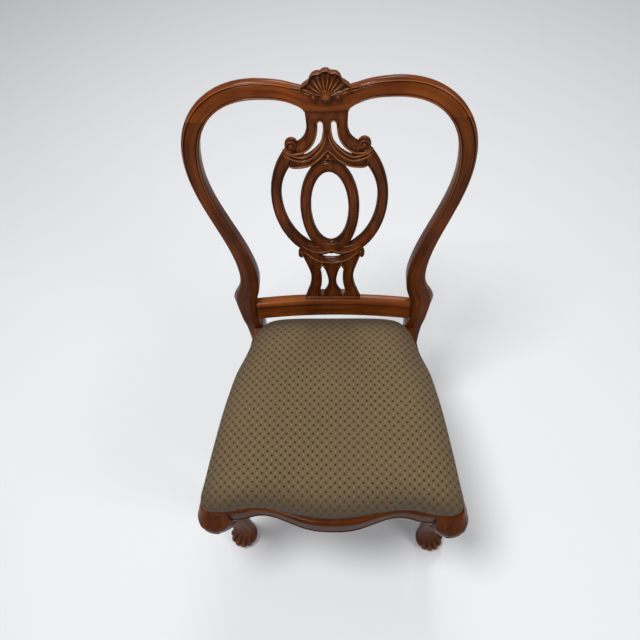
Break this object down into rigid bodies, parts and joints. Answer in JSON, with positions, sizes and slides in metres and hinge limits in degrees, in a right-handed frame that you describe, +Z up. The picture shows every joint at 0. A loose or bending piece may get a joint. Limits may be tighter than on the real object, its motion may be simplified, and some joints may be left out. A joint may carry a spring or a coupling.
{
  "type": "dining side chair",
  "caption": "Wooden dining side chair with a balloon back, a pierced scrolled splat, a carved shell crest, cabriole front legs and an upholstered serpentine seat.",
  "frame": {"origin": "on the floor, at the middle of the chair's width and of its length from the front of the knees to the back of the crest", "axes": "+X towards the right-hand side as seen from in front, +Y from the front of the seat to the back, +Z up"},
  "size_m": [0.562, 0.608, 1.0409],
  "materials": {
    "polished_wood": "polished mahogany colour",
    "plain_wood": "plain, unfinished",
    "plywood": "plywood",
    "foam": "open-cell foam",
    "seat_fabric": "woven, small dark dots",
    "dust_cloth": "thin black cloth",
    "screw_steel": "zinc plated",
    "glide_steel": "pressed steel"
  },
  "bodies": {
    "root": {"left_rear_post": "polished_wood", "right_rear_post": "polished_wood", "crest_rail": "polished_wood", "crest_shell": "polished_wood", "back_splat": "polished_wood", "lower_back_rail": "polished_wood", "rear_seat_rail": "polished_wood", "left_side_rail": "polished_wood", "right_side_rail": "polished_wood", "front_seat_rail": "polished_wood", "left_front_leg": "polished_wood", "right_front_leg": "polished_wood", "left_front_knee_block": "polished_wood", "right_front_knee_block": "polished_wood", "left_side_knee_block": "polished_wood", "right_side_knee_block": "polished_wood", "rear_left_corner_block": "plain_wood", "rear_right_corner_block": "plain_wood", "front_left_corner_block": "plain_wood", "front_right_corner_block": "plain_wood", "crest_dowels": "plain_wood", "lower_rail_dowels": "plain_wood", "rear_rail_dowels": "plain_wood", "side_rail_dowels": "plain_wood", "front_rail_dowels": "plain_wood", "corner_block_screws": "screw_steel", "seat_screws": "screw_steel", "seat_board": "plywood", "seat_foam": "foam", "seat_cover": "seat_fabric", "dust_cover": "dust_cloth", "foot_glides": "glide_steel"}
  },
  "joints": []
}
